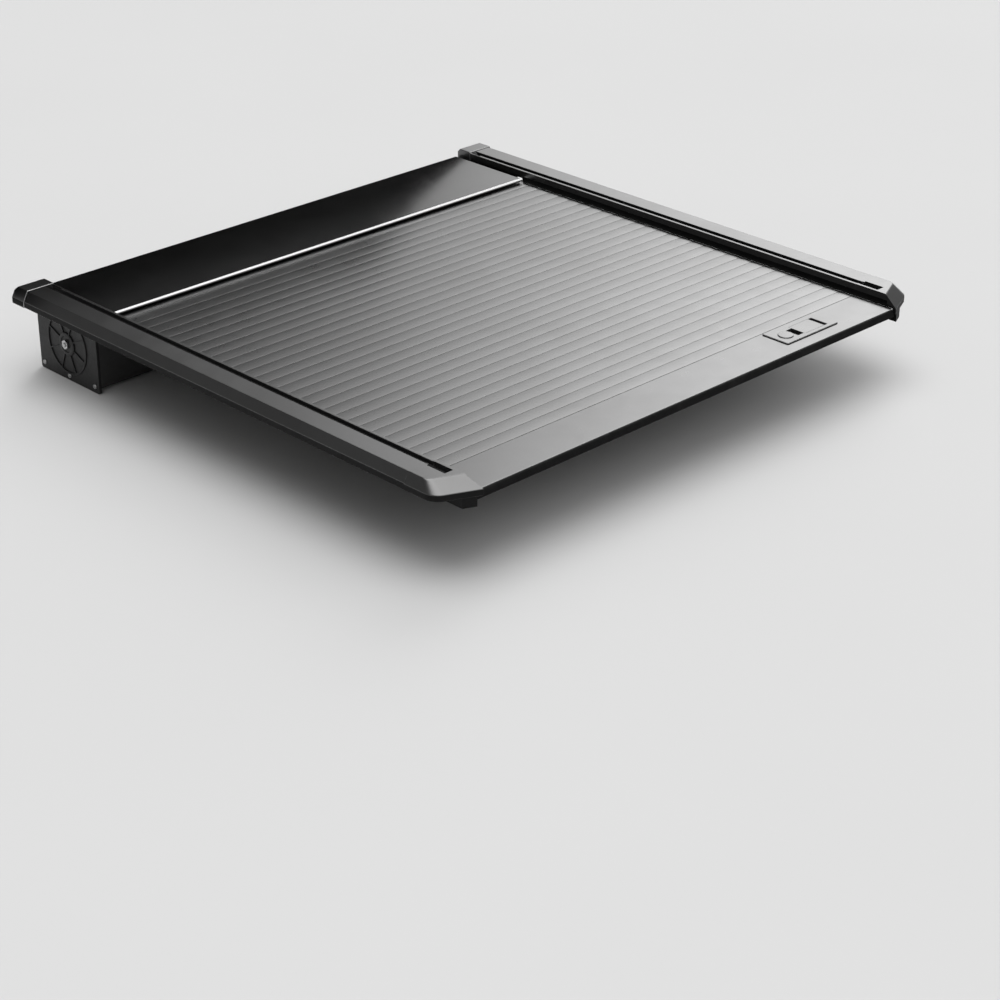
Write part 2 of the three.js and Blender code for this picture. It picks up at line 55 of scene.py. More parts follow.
# Curtain
SLAT_COUNT = 29
SLAT_PITCH = 40.0
SLAT_WIDTH = 39.4
SLAT_HALF_LENGTH = 714.6
SLAT_CROWN = 0.35
SLAT_TOP_Z = 6.0
FIRST_SLAT_Y = 122.1

# Rails and their end caps
RAIL_INNER_X = 700.5
RAIL_OUTER_X = 789.0
RAIL_REAR_Y = 114.0
RAIL_FRONT_Y = 1480.0
RAIL_TOP_Z = 38.0
LEG_OUTER_X = 731.0
LEG_BOTTOM_Z = -24.0
SLOT_NECK = (707.5, 724.5)
SLOT_POCKET = (704.2, 728.0)
SLOT_LIP_Z = 34.0
SLOT_FLOOR_Z = 26.0
SLOT_OPENING_X = (706.5, 730.5)
SLOT_OPENING_Y = (53.0, 108.0)
SKIRT_Z = (0.4, 14.6)
CHANNEL_X = 718.0
CHANNEL_Z = (-7.0, 8.5)
GROOVE_X = 727.5
GROOVE_Z = (-3.4, 3.8)
RECESS_X = 706.0
RECESS_TOP_Z = 22.8
CHANNEL_REAR_Y = -0.7
ABOVE_RAIL_Z = 45.0
CAP_INNER_X = 700.1
CAP_FRONT_Y = 113.7
PAST_CAP_Y = 115.0
CAP_SLANT = math.radians(24.3)
FLARE_TIP = (688.7, -18.9)
FLARE_FRONT_Y = 19.0
SEAL_REAR_Y = 6.1
SEAL_FRONT_Y = 1268.8

# Canister, its lid and the latch
END_FACE_X = 724.0
SPOOL_Y, SPOOL_Z = 1409.0, -92.0
TRIM_HALF_LENGTH = 698.6
LOCK_X, LOCK_Y = 382.0, 69.5

# Studio. The light's limits are angles in degrees, with azimuth 0 towards the cab and 90 to the right.
# LEFT_FADE is the part of a direction that points right, and FLAG_GLOW_Z is a pair of heights.
FLOOR_Z = -189.8
CAMERA_PLACE = (-3744.5, -3204.0, 2238.0)
CAMERA_TURN = (63.0, 0.0, -44.25)
CAMERA_LENS = 86.76
KEY_START = (33.6, 57.4)
KEY_END = (60, 84)
KEY_BEYOND = 0.03
KEY_RISE = (8, 30)
KEY_AT_HORIZON = 0.4
KEY_FADE = (40, 65)
KEY_LIGHT = 4.6
OVERHEAD_FROM = (48, 71)
OVERHEAD_LIGHT = 3.2
REAR_FROM = (100, 130)
REAR_RISE = (12, 34)
REAR_LIGHT = 1.05
LEFT_FADE = (-0.6, 0.1)
LEFT_LIGHT = 0.2
AMBIENT_LIGHT = 0.05
FLAG_GLOW_Z = (95, 180)
FLAG_LIGHT = 0.09


# ---------------------------------------------------------------- outlines


def rounded(points, radius, steps):
    """The outline with its corners rounded; a third number on a point is that corner's own radius."""
    outline = []
    for i, point in enumerate(points):
        corner = Vector(point[:2])
        back = Vector(points[i - 1][:2]) - corner
        ahead = Vector(points[(i + 1) % len(points)][:2]) - corner
        own_radius = point[2] if len(point) > 2 else radius
        angle = back.angle(ahead)
        reach = min(own_radius / math.tan(angle / 2), 0.48 * back.length, 0.48 * ahead.length)
        if own_radius <= 0 or reach < 0.01:
            outline.append(corner)
            continue
        start = corner + back.normalized() * reach
        end = corner + ahead.normalized() * reach
        for step in range(steps + 1):
            t = step / steps
            outline.append(start * (1 - t) ** 2 + corner * 2 * t * (1 - t) + end * t ** 2)
    return outline


def circle(radius, steps):
    turns = [2 * math.pi * i / steps for i in range(steps)]
    return [Vector((radius * math.cos(a), radius * math.sin(a))) for a in turns]


# ---------------------------------------------------------------- meshes


PLACES = {
    "X": lambda a, b, along: (along, a, b),
    "Y": lambda a, b, along: (a, along, b),
    "Z": lambda a, b, along: (a, b, along),
}


def lofted(rings):
    """A closed mesh through rings of points with equal counts, in millimetres."""
    bm = bmesh.new()
    loops = [[bm.verts.new(Vector(p) * MM) for p in ring] for ring in rings]
    for lower, upper in zip(loops, loops[1:]):
        for i in range(len(lower)):
            j = (i + 1) % len(lower)
            bm.faces.new((lower[i], lower[j], upper[j], upper[i]))
    bm.faces.new(loops[0])
    bm.faces.new(loops[-1])
    bmesh.ops.recalc_face_normals(bm, faces=bm.faces)
    return bm


def swept(outline, axis, stops):
    """The outline drawn out along an axis through the stops."""
    place = PLACES[axis]
    return lofted([[place(p[0], p[1], stop) for p in outline] for stop in stops])


def turned(profile, steps):
    """(radius, height) pairs turned round the Z axis; the first and last radius may be 0."""
    bm = bmesh.new()
    rings = []
    for radius, height in profile:
        if radius < 1e-6:
            rings.append([bm.verts.new((0, 0, height * MM))])
            continue
        ring = circle(radius, steps)
        rings.append([bm.verts.new((p.x * MM, p.y * MM, height * MM)) for p in ring])
    for lower, upper in zip(rings, rings[1:]):
        for i in range(steps):
            j = (i + 1) % steps
            corners = [ring[k % len(ring)] for ring, k in ((lower, i), (lower, j), (upper, j), (upper, i))]
            distinct = list(dict.fromkeys(corners))
            if len(distinct) > 2:
                bm.faces.new(distinct)
    if len(rings[0]) > 1:
        bm.faces.new(rings[0])
    if len(rings[-1]) > 1:
        bm.faces.new(rings[-1])
    bmesh.ops.recalc_face_normals(bm, faces=bm.faces)
    return bm


def cad_copy(node):
    """The CAD node's mesh with its flat faces merged, ready for its edges to be rounded."""
    bm = bmesh.new()
    bm.from_mesh(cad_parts[node].data)
    bmesh.ops.remove_doubles(bm, verts=bm.verts, dist=1e-6)
    bmesh.ops.dissolve_limit(bm, angle_limit=math.radians(1), verts=bm.verts, edges=bm.edges)
    return bm


def mirrored(bm, sign):
    """The mesh mirrored to the left side where sign is -1."""
    if sign < 0:
        for vert in bm.verts:
            vert.co.x = -vert.co.x
        bmesh.ops.reverse_faces(bm, faces=bm.faces)
    return bm


def moved(bm, x, y, z):
    """The mesh moved by the given millimetres."""
    bmesh.ops.translate(bm, verts=bm.verts, vec=Vector((x, y, z)) * MM)
    return bm


def joined(*parts):
    """One mesh that holds all the parts."""
    whole = bmesh.new()
    for part in parts:
        mesh = bpy.data.meshes.new("part")
        part.to_mesh(mesh)
        part.free()
        whole.from_mesh(mesh)
        bpy.data.meshes.remove(mesh)
    return whole


def as_object(name, bm):
    mesh = bpy.data.meshes.new(name)
    bm.to_mesh(mesh)
    bm.free()
    obj = bpy.data.objects.new(name, mesh)
    bpy.context.scene.collection.objects.link(obj)
    return obj


def mesh_of(obj):
    """The object's mesh as a bmesh, and the object is removed."""
    bm = bmesh.new()
    bm.from_mesh(obj.data)
    bpy.data.objects.remove(obj)
    return bm


def bake(obj):
    """Turns the object's modifiers into mesh."""
    depsgraph = bpy.context.evaluated_depsgraph_get()
    result = bpy.data.meshes.new_from_object(obj.evaluated_get(depsgraph))
    obj.modifiers.clear()
    old = obj.data
    obj.data = result
    bpy.data.meshes.remove(old)


def cut(obj, *tools):
    """Takes the tools' volumes out of the object."""
    for tool in tools:
        cutter = as_object("cutter", tool)
        modifier = obj.modifiers.new("cut", "BOOLEAN")
        modifier.object = cutter
        modifier.solver = "EXACT"
        bake(obj)
        bpy.data.objects.remove(cutter)


def box(x0, x1, y0, y1, z0, z1):
    return swept([(x0, y0), (x1, y0), (x1, y1), (x0, y1)], "Z", (z0, z1))


def soften(obj, width, segments, angle):
    """Rounds the edges that are sharper than the angle."""
    bevel = obj.modifiers.new("bevel", "BEVEL")
    bevel.width = width * MM
    bevel.segments = segments
    bevel.limit_method = "ANGLE"
    bevel.angle_limit = math.radians(angle)
    bevel.use_clamp_overlap = True
    bake(obj)


def shade(obj):
    """Smooth shading that keeps the sharp edges."""
    obj.data.shade_smooth()
    obj.data.set_sharp_from_angle(angle=math.radians(32))
    obj.modifiers.new("normals", "WEIGHTED_NORMAL").keep_sharp = True
    bake(obj)


def piece(name, bm, material, body, node=None, edge=0.0, segments=2, angle=30):
    """A finished piece with its edges rounded, which moves with a CAD body and may stand for a CAD node."""
    obj = as_object(name, bm)
    if edge:
        soften(obj, edge, segments, angle)
    shade(obj)
    obj.data.materials.clear()
    obj.data.materials.append(material)
    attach(obj, body)
    if node:
        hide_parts(node)
    return obj


def unmirrored(*objs):
    """Keeps the pieces out of the curtain's reflections, so its ends stay bright beside the rails."""
    for obj in objs:
        obj.visible_glossy = False


def paint_faces(obj, material, test):
    """Gives the faces whose centre, in millimetres, passes the test a material of their own."""
    obj.data.materials.append(material)
    index = len(obj.data.materials) - 1
    for face in obj.data.polygons:
        if test(face.center / MM, face.normal):
            face.material_index = index


# ---------------------------------------------------------------- materials


class NodeTree:
    """The node tree of a material or world, with short forms for the nodes that both use."""

    def __init__(self, owner):
        owner.use_nodes = True
        self.nodes = owner.node_tree.nodes
        self.links = owner.node_tree.links

    def ranged(self, value, low, high, to_low, to_high, easing="LINEAR"):
        node = self.nodes.new("ShaderNodeMapRange")
        node.interpolation_type = easing
        self.links.new(value, node.inputs["Value"])
        limits = {"From Min": low, "From Max": high, "To Min": to_low, "To Max": to_high}
        for socket, number in limits.items():
            node.inputs[socket].default_value = number
        return node.outputs["Result"]

    def eased(self, value, limits, to_low, to_high):
        return self.ranged(value, *limits, to_low, to_high, "SMOOTHSTEP")

    def maths(self, operation, *values):
        node = self.nodes.new("ShaderNodeMath")
        node.operation = operation
        for index, value in enumerate(values):
            if isinstance(value, (int, float)):
                node.inputs[index].default_value = value
            else:
                self.links.new(value, node.inputs[index])
        return node.outputs["Value"]

    def product(self, a, b):
        return self.maths("MULTIPLY", a, b)

    def split(self, vector):
        """The outputs X, Y and Z of a vector."""
        node = self.nodes.new("ShaderNodeSeparateXYZ")
        self.links.new(vector, node.inputs[0])
        return node.outputs


class Surface(NodeTree):
    """A node material under construction."""

    def __init__(self, name, base, metallic, roughness, **sockets):
        self.material = bpy.data.materials.new(name)
        super().__init__(self.material)
        self.shader = self.nodes["Principled BSDF"]
        self.base = base
        self.roughness = roughness
        self.shader.inputs["Base Color"].default_value = (*base, 1)
        self.shader.inputs["Metallic"].default_value = metallic
        self.shader.inputs["Roughness"].default_value = roughness
        for socket, value in sockets.items():
            self.shader.inputs[socket.replace("_", " ")].default_value = value
        coords = self.nodes.new("ShaderNodeTexCoord")
        self.place = coords.outputs["Object"]
        self.colour = None
        self.rough = None
        self.normal = None

    def stretched(self, x, y, z):
        mapping = self.nodes.new("ShaderNodeMapping")
        mapping.inputs["Scale"].default_value = (x, y, z)
        self.links.new(self.place, mapping.inputs["Vector"])
        return mapping.outputs["Vector"]

    def noise(self, scale, detail, place=None, distortion=0.0):
        texture = self.nodes.new("ShaderNodeTexNoise")
        texture.inputs["Scale"].default_value = scale
        texture.inputs["Detail"].default_value = detail
        texture.inputs["Distortion"].default_value = distortion
        self.links.new(place or self.place, texture.inputs["Vector"])
        return texture.outputs["Fac"]

    def cells(self, scale):
        texture = self.nodes.new("ShaderNodeTexVoronoi")
        texture.inputs["Scale"].default_value = scale
        self.links.new(self.place, texture.inputs["Vector"])
        return texture.outputs["Distance"]

    def wave(self, scale, direction):
        texture = self.nodes.new("ShaderNodeTexWave")
        texture.bands_direction = direction
        texture.inputs["Scale"].default_value = scale
        texture.inputs["Distortion"].default_value = 0
        self.links.new(self.place, texture.inputs["Vector"])
        return texture.outputs["Fac"]

    def tint(self, mask, colour):
        """Mixes a colour in where the mask is 1."""
        mix = self.nodes.new("ShaderNodeMix")
        mix.data_type = "RGBA"
        if self.colour is None:
            mix.inputs["A"].default_value = (*self.base, 1)
        else:
            self.links.new(self.colour, mix.inputs["A"])
        mix.inputs["B"].default_value = (*colour, 1)
        self.links.new(mask, mix.inputs["Factor"])
        self.colour = mix.outputs["Result"]

    def patches(self, value, low, high, strength, colour):
        """Mixes a colour in where the value is high, up to the strength."""
        self.tint(self.ranged(value, low, high, 0.0, strength), colour)

    def wear(self, radius, scale, low, high, least, most, colour):
        """Rubs the edges to another colour, more in some places than in others."""
        rubbed = self.ranged(self.noise(scale, 4), low, high, least, most)
        self.tint(self.product(self.edges(radius), rubbed), colour)

    def roughen(self, value, amount):
        """Moves the roughness up and down by the amount as the value goes from 0 to 1."""
        offset = self.ranged(value, 0.25, 0.75, -amount, amount)
        start = self.roughness if self.rough is None else self.rough
        self.rough = self.maths("ADD", start, offset)

    def bump(self, height, depth, strength):
        """Raises the surface by the height, with the depth in millimetres."""
        node = self.nodes.new("ShaderNodeBump")
        node.inputs["Strength"].default_value = strength
        node.inputs["Distance"].default_value = depth * MM
        self.links.new(height, node.inputs["Height"])
        if self.normal is not None:
            self.links.new(self.normal, node.inputs["Normal"])
        self.normal = node.outputs["Normal"]

    def edges(self, radius):
        """1 on edges within the radius in millimetres, 0 on flat surfaces."""
        bevel = self.nodes.new("ShaderNodeBevel")
        bevel.samples = 4
        bevel.inputs["Radius"].default_value = radius * MM
        geometry = self.nodes.new("ShaderNodeNewGeometry")
        dot = self.nodes.new("ShaderNodeVectorMath")
        dot.operation = "DOT_PRODUCT"
        self.links.new(bevel.outputs["Normal"], dot.inputs[0])
        self.links.new(geometry.outputs["Normal"], dot.inputs[1])
        return self.ranged(dot.outputs["Value"], 0.99, 0.86, 0.0, 1.0)

    def done(self):
        if self.colour is not None:
            self.links.new(self.colour, self.shader.inputs["Base Color"])
        if self.rough is not None:
            self.links.new(self.rough, self.shader.inputs["Roughness"])
        if self.normal is not None:
            self.links.new(self.normal, self.shader.inputs["Normal"])
        return self.material


def grey(level, warm=0.0):
    return (level * (1 + warm), level, level * (1 - warm))


def satin_coat(name, level, roughness, grain):
    """Satin coat on aluminium: fine grain, slow shifts of tone and lighter, rubbed edges."""
    s = Surface(name, grey(level), 1.0, roughness)
    s.patches(s.noise(3.2, 3), 0.38, 0.68, 0.5, grey(level * 0.84, 0.01))
    s.roughen(s.noise(17, 5, distortion=0.6), 0.025)
    s.patches(s.noise(900, 2), 0.45, 0.75, 0.22, grey(level * 1.5))
    s.wear(0.7, 55, 0.46, 0.62, 0.1, 0.8, grey(0.42))
    s.bump(s.noise(grain, 2), 0.03, 0.35)
    s.bump(s.noise(160, 2), 0.05, 0.06)
    return s.done()


def skirt_painted_shade():
    """Painted shade: a nearly black coat on the upright lower edges of the rails and caps, in place of the
    dark reflections that these faces show on the truck.
    """
    s = Surface("skirt_painted_shade", grey(0.006), 0.0, 0.5, Specular_IOR_Level=0.1)
    s.patches(s.noise(19, 5, distortion=0.5), 0.4, 0.7, 0.6, grey(0.01, 0.02))
    s.roughen(s.noise(60, 4), 0.05)
    s.wear(0.6, 70, 0.48, 0.65, 0.0, 0.6, grey(0.09))
    s.bump(s.noise(1900, 2), 0.03, 0.35)
    return s.done()


def slot_painted_shade():
    """Painted shade: deep black on the insides of slots and wells, and on the paddle's knuckles, where
    shade falls.
    """
    s = Surface("slot_painted_shade", grey(0.006), 0.0, 0.75, Specular_IOR_Level=0.15)
    s.patches(s.noise(60, 4), 0.5, 0.75, 0.5, grey(0.014))
    s.bump(s.noise(1400, 2), 0.04, 0.3)
    return s.done()


def polished_trim():
    s = Surface("polished_trim", grey(0.83), 1.0, 0.14)
    fine = s.noise(6, 4, s.stretched(4, 900, 900))
    s.roughen(fine, 0.05)
    s.patches(s.noise(45, 4), 0.5, 0.8, 0.35, grey(0.7))
    s.bump(fine, 0.004, 0.2)
    return s.done()


def rubber():
    s = Surface("rubber", grey(0.005), 0.0, 0.7, Specular_IOR_Level=0.09)
    s.patches(s.noise(14, 5, distortion=0.8), 0.5, 0.8, 0.6, grey(0.014, 0.03))
    s.roughen(s.noise(70, 4), 0.09)
    s.bump(s.noise(1100, 3), 0.05, 0.4)
    s.bump(s.noise(5, 2, s.stretched(3, 300, 300)), 0.06, 0.2)
    return s.done()


def foam():
    s = Surface("foam", grey(0.022), 0.0, 0.95, Specular_IOR_Level=0.2)
    s.patches(s.cells(700), 0.1, 0.6, 0.7, grey(0.045))
    s.bump(s.cells(420), 0.35, 0.8)
    s.roughen(s.noise(90, 3), 0.04)
    return s.done()


def black_plastic():
    s = Surface("black_plastic", grey(0.013), 0.0, 0.5, Specular_IOR_Level=0.4)
    s.patches(s.noise(22, 5), 0.48, 0.75, 0.5, grey(0.024))
    s.roughen(s.noise(130, 3), 0.06)
    s.bump(s.cells(1500), 0.03, 0.5)
    s.wear(0.5, 80, 0.45, 0.65, 0.0, 0.7, grey(0.06))
    return s.done()


def sheet_metal():
    s = Surface("sheet_metal", grey(0.10), 0.8, 0.46)
    s.patches(s.noise(7, 4, distortion=1.2), 0.42, 0.7, 0.6, grey(0.07, 0.02))
    s.roughen(s.noise(24, 5), 0.07)
    s.wear(0.7, 45, 0.42, 0.6, 0.1, 0.9, grey(0.4))
    s.bump(s.noise(1500, 2), 0.04, 0.35)
    s.bump(s.noise(12, 2), 0.5, 0.08)
    return s.done()


def bare_aluminium():
    """Drawn aluminium, with its marks along X."""
    s = Surface("bare_aluminium", grey(0.6), 1.0, 0.34)
    drawn = s.noise(5, 5, s.stretched(2, 420, 420))
    s.roughen(drawn, 0.08)
    s.patches(drawn, 0.35, 0.7, 0.4, grey(0.45))
    s.patches(s.noise(26, 5), 0.55, 0.8, 0.5, grey(0.36, 0.02))
    s.bump(drawn, 0.02, 0.4)
    return s.done()


def brushed_steel(name, level, roughness, stretch):
    s = Surface(name, grey(level), 1.0, roughness)
    brushed = s.noise(4, 5, s.stretched(*stretch))
    s.roughen(brushed, 0.09)
    s.patches(brushed, 0.35, 0.7, 0.4, grey(level * 0.72))
    s.patches(s.noise(150, 4), 0.58, 0.75, 0.35, grey(level * 0.45, 0.05))
    s.bump(brushed, 0.012, 0.4)
    return s.done()


def webbing():
    s = Surface("webbing", grey(0.03), 0.0, 0.86, Sheen_Weight=0.35)
    weave = s.product(s.wave(330, "X"), s.wave(300, "Y"))
    s.patches(weave, 0.2, 0.8, 0.7, grey(0.06))
    s.patches(s.noise(30, 4), 0.45, 0.7, 0.4, grey(0.018))
    s.bump(weave, 0.3, 0.7)
    return s.done()


def floor_paint():
    s = Surface("floor_paint", grey(0.56), 0.0, 0.8, Specular_IOR_Level=0.2)
    s.patches(s.noise(0.8, 3), 0.4, 0.7, 0.3, grey(0.54))
    s.bump(s.noise(60, 3), 0.2, 0.03)
    return s.done()


RAIL_COAT = satin_coat("rail_coat", 0.14, 0.3, 1900)
SLAT_COAT = satin_coat("slat_coat", 0.14, 0.29, 2300)
LID_COAT = satin_coat("lid_coat", 0.096, 0.22, 1600)
SKIRT_PAINTED_SHADE = skirt_painted_shade()
SLOT_PAINTED_SHADE = slot_painted_shade()
TRIM = polished_trim()
RUBBER = rubber()
FOAM = foam()
PLASTIC = black_plastic()
SHEET = sheet_metal()
ALUMINIUM = bare_aluminium()
STEEL = brushed_steel("steel_across", 0.52, 0.3, (3, 600, 600))
SPRING_STEEL = brushed_steel("spring_steel", 0.2, 0.36, (200, 60, 60))
WEBBING = webbing()


# ---------------------------------------------------------------- curtain


def slat_outline(y0):
    """A crowned slat: rounded lips at both edges, and under it a flat web between two hooks."""
    y1 = y0 + SLAT_WIDTH
    under = [
        (y0, 0.2), (y0 + 1.6, -1.4), (y0 + 3.4, -3.0), (y0 + 12, -3.0), (y0 + 13, -2.2),
        (y1 - 13, -2.2), (y1 - 12, -3.0), (y1 - 1.2, -3.0), (y1, -1.8), (y1, 1.2),
    ]
    crown = []
    steps = 14
    for i in range(steps + 1):
        t = i / steps
        z = SLAT_TOP_Z - SLAT_CROWN * (2 * t - 1) ** 2
        crown.append((y1 + (y0 - y1) * t, z, 0.7 if i in (0, steps) else 0))
    return rounded(under + crown, 0.35, 3)


def add_slats():
    for i in range(SLAT_COUNT):
        y0 = FIRST_SLAT_Y + SLAT_PITCH * i
        node = f"slat_{i + 1:02d}"
        bm = swept(slat_outline(y0), "X", (-SLAT_HALF_LENGTH, -240, 240, SLAT_HALF_LENGTH))
        obj = piece(f"{node}_skin", bm, SLAT_COAT, node, node)
        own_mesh(obj)


def add_pull_bar():
    piece("pull_bar_skin", cad_copy("pull_bar"), SLAT_COAT, "pull_bar", "pull_bar", edge=0.45)


def add_tailgate_seal():
    lip = rounded([
        (-8, -12, 1.5), (-2.5, -12, 1.2), (-0.4, -6, 1), (-0.4, 4.7, 0.4), (-4, 4.7, 1.5), (-6.2, 1.5, 2),
    ], 0.5, 5)
    bm = swept(lip, "X", (-697.8, 0, 697.8))
    piece("tailgate_seal_lip", bm, RUBBER, "pull_bar", "tailgate_seal", edge=0.4, angle=60)


# ---------------------------------------------------------------- rails


def rail_outline():
    """The rail's section: its leg, its outside, the T-slot, the seal's recess and the slats' channel."""
    neck_inner, neck_outer = SLOT_NECK
    pocket_inner, pocket_outer = SLOT_POCKET
    channel_floor, channel_roof = CHANNEL_Z
    groove_floor, groove_roof = GROOVE_Z
    leg = [(RAIL_INNER_X, LEG_BOTTOM_Z, 0.6), (LEG_OUTER_X, LEG_BOTTOM_Z, 0.6), (LEG_OUTER_X, 0, 0.4)]
    outside = [(RAIL_OUTER_X, 0, 0.8), (RAIL_OUTER_X, 15.5, 3), (775, RAIL_TOP_Z, 2.2)]
    slot = [
        (neck_outer, RAIL_TOP_Z, 0.5), (neck_outer, SLOT_LIP_Z, 0.3), (pocket_outer, SLOT_LIP_Z, 0.3),
        (pocket_outer, SLOT_FLOOR_Z, 0.3), (pocket_inner, SLOT_FLOOR_Z, 0.3),
        (pocket_inner, SLOT_LIP_Z, 0.3), (neck_inner, SLOT_LIP_Z, 0.3), (neck_inner, RAIL_TOP_Z, 0.5),
    ]
    recess = [
        (RAIL_INNER_X, RAIL_TOP_Z, 1.2), (RAIL_INNER_X, RECESS_TOP_Z, 0.4), (RECESS_X, RECESS_TOP_Z, 0.3),
        (RECESS_X, channel_roof, 0.3),
    ]
    channel = [
        (CHANNEL_X, channel_roof, 0.3), (CHANNEL_X, groove_roof, 0.2), (GROOVE_X, groove_roof, 0.2),
        (GROOVE_X, groove_floor, 0.2), (CHANNEL_X, groove_floor, 0.2), (CHANNEL_X, channel_floor, 0.3),
        (RAIL_INNER_X, channel_floor, 0.5),
    ]
    return rounded(leg + outside + slot + recess + channel, 0.4, 4)


def in_slot(centre, normal):
    """The inside of the T-slot and of the wide opening at its rear end."""
    across = SLOT_POCKET[0] - 0.8 < abs(centre.x) < SLOT_OPENING_X[1] + 1.1
    return across and SLOT_FLOOR_Z - 1 < centre.z < RAIL_TOP_Z - 0.4 and centre.y > SLOT_OPENING_Y[0] - 1


def on_skirt(centre, normal):
    """The upright band along the outside, below the sloped faces."""
    upright = SKIRT_Z[0] < centre.z < SKIRT_Z[1] and abs(normal.z) < 0.2
    return upright and (abs(centre.x) > 740 or centre.y < 22)


def add_rails():
    for side, sign in SIDES:
        rail = as_object("rail", swept(rail_outline(), "Y", (RAIL_REAR_Y, 700, RAIL_FRONT_Y)))
        slot_end = box(703.5, 725, 1443, 1476, SLOT_FLOOR_Z, ABOVE_RAIL_Z)
        room_for_canister = box(699, 731.5, 1284, 1500, -30, 9)
        cut(rail, slot_end, room_for_canister)
        rail = piece(f"rail_{side}_body", mirrored(mesh_of(rail), sign), RAIL_COAT, "root", f"rail_{side}")
        # Painted shade: the inside of the T-slot is painted deep black.
        paint_faces(rail, SLOT_PAINTED_SHADE, in_slot)
        # Painted shade: the upright lower band is painted near-black in place of dark reflections.
        paint_faces(rail, SKIRT_PAINTED_SHADE, on_skirt)
        unmirrored(rail)


def rear_cap_ring(z, outer, rear, corner):
    """One level of the cap's outside: inner wall, flare, slanted rear edge, round corner and side."""
    steps = 18
    rise = math.tan(CAP_SLANT)
    flare_rise = (FLARE_FRONT_Y - FLARE_TIP[1]) / (CAP_INNER_X - FLARE_TIP[0])
    start_x = min(CAP_INNER_X, CAP_INNER_X - (FLARE_FRONT_Y - rear) / (flare_rise - rise))
    start_y = rear + (start_x - CAP_INNER_X) * rise
    outer_x = outer - corner
    bend_x = outer_x + corner * math.sin(CAP_SLANT)
    bend_y = rear + (bend_x - CAP_INNER_X) * rise
    centre_y = bend_y + corner * math.cos(CAP_SLANT)
    ring = [(CAP_INNER_X, CAP_FRONT_Y, z), (CAP_INNER_X, max(FLARE_FRONT_Y, rear + 4), z)]
    for t in (0, 0.25, 0.5, 0.75):
        ring.append((start_x + (bend_x - start_x) * t, start_y + (bend_y - start_y) * t, z))
    for i in range(steps + 1):
        a = CAP_SLANT - math.pi / 2 + (math.pi / 2 - CAP_SLANT) * i / steps
        ring.append((outer_x + corner * math.cos(a), centre_y + corner * math.sin(a), z))
    ring.append((outer, CAP_FRONT_Y, z))
    return ring


def rear_cap():
    """The body lofted from its skirt over the slope to its top, then cut for the slot and the curtain."""
    levels = (
        (0.0, 789.4, -13.7, 40),
        (13.6, 789.6, -13.7, 40),
        (14.5, 789.4, -13.3, 40),
        (15.4, 788.9, -12.3, 40),
        (35.2, 777.7, 18.6, 25),
        (36.8, 776.8, 20.9, 24),
        (38.2, 775.6, 23.6, 23),
        (38.8, 774.4, 26.2, 22),
    )
    body = as_object("rear_cap", lofted([rear_cap_ring(*level) for level in levels]))
    slot_opening = box(*SLOT_OPENING_X, *SLOT_OPENING_Y, 25.5, ABOVE_RAIL_Z)
    slot_neck = box(*SLOT_NECK, 107, PAST_CAP_Y, 33, ABOVE_RAIL_Z)
    slot_pocket = box(*SLOT_POCKET, 107, PAST_CAP_Y, SLOT_FLOOR_Z, SLOT_LIP_Z)
    recess = box(699.5, RECESS_X, 5.5, PAST_CAP_Y, -1, RECESS_TOP_Z)
    channel = box(699.5, CHANNEL_X, CHANNEL_REAR_Y, PAST_CAP_Y, -1, CHANNEL_Z[1])
    groove = box(717, GROOVE_X, CHANNEL_REAR_Y, PAST_CAP_Y, *GROOVE_Z)
    under_flare = box(686, RAIL_INNER_X, -8.6, 60, -1, 10.5)
    cut(body, slot_opening, slot_neck, slot_pocket, recess, channel, groove, under_flare)
    return body


def cap_leg():
    """The part of the cap that hangs inside the bed, under the curtain's edge."""
    inner = 700.6
    plan = [(inner, -12.8), (LEG_OUTER_X, 0.6), (LEG_OUTER_X, CAP_FRONT_Y), (inner, CAP_FRONT_Y)]
    leg = as_object("cap_leg", swept(plan, "Z", (LEG_BOTTOM_Z, 0.2)))
    channel = box(699, CHANNEL_X, CHANNEL_REAR_Y, PAST_CAP_Y, CHANNEL_Z[0], 1)
    groove = box(717, GROOVE_X, CHANNEL_REAR_Y, PAST_CAP_Y, GROOVE_Z[0], 1)
    cut(leg, channel, groove)
    return leg


# The skirt, and the rear end of the leg under the cap, which both get painted shade.
def on_skirt_or_leg_end(centre, normal):
    return on_skirt(centre, normal) or (centre.z < -0.1 and centre.y < 100)


def add_rear_caps():
    for side, sign in SIDES:
        bm = mirrored(joined(mesh_of(rear_cap()), mesh_of(cap_leg())), sign)
        cap = piece(f"rear_cap_{side}_body", bm, RAIL_COAT, "root", f"rear_cap_{side}", edge=0.35)
        # Painted shade: the inside of the T-slot and of its opening is painted deep black.
        paint_faces(cap, SLOT_PAINTED_SHADE, in_slot)
        # Painted shade: the upright lower band and the leg's rear end are painted near-black, in place of
        # dark reflections and of the truck's shade.
        paint_faces(cap, SKIRT_PAINTED_SHADE, on_skirt_or_leg_end)
        unmirrored(cap)


def on_rear_edge_highlight(centre, normal):
    """The bevel round the cap's face towards the rail, given bright bare aluminium as a painted highlight.
    """
    return normal.y < -0.35 and centre.z > 6 and (normal.z > 0.3 or abs(normal.x) > 0.3)


def add_front_caps():
    for side, _ in SIDES:
        node = f"front_cap_{side}"
        cap = piece(f"{node}_body", cad_copy(node), RAIL_COAT, "root", node, edge=1.5, segments=4)
        # Painted shade: the upright lower band is painted near-black in place of dark reflections.
        paint_faces(cap, SKIRT_PAINTED_SHADE, on_skirt)
        # Painted highlight: the bevel along the cap's rear edge is bright bare aluminium.
        paint_faces(cap, ALUMINIUM, on_rear_edge_highlight)
        unmirrored(cap)


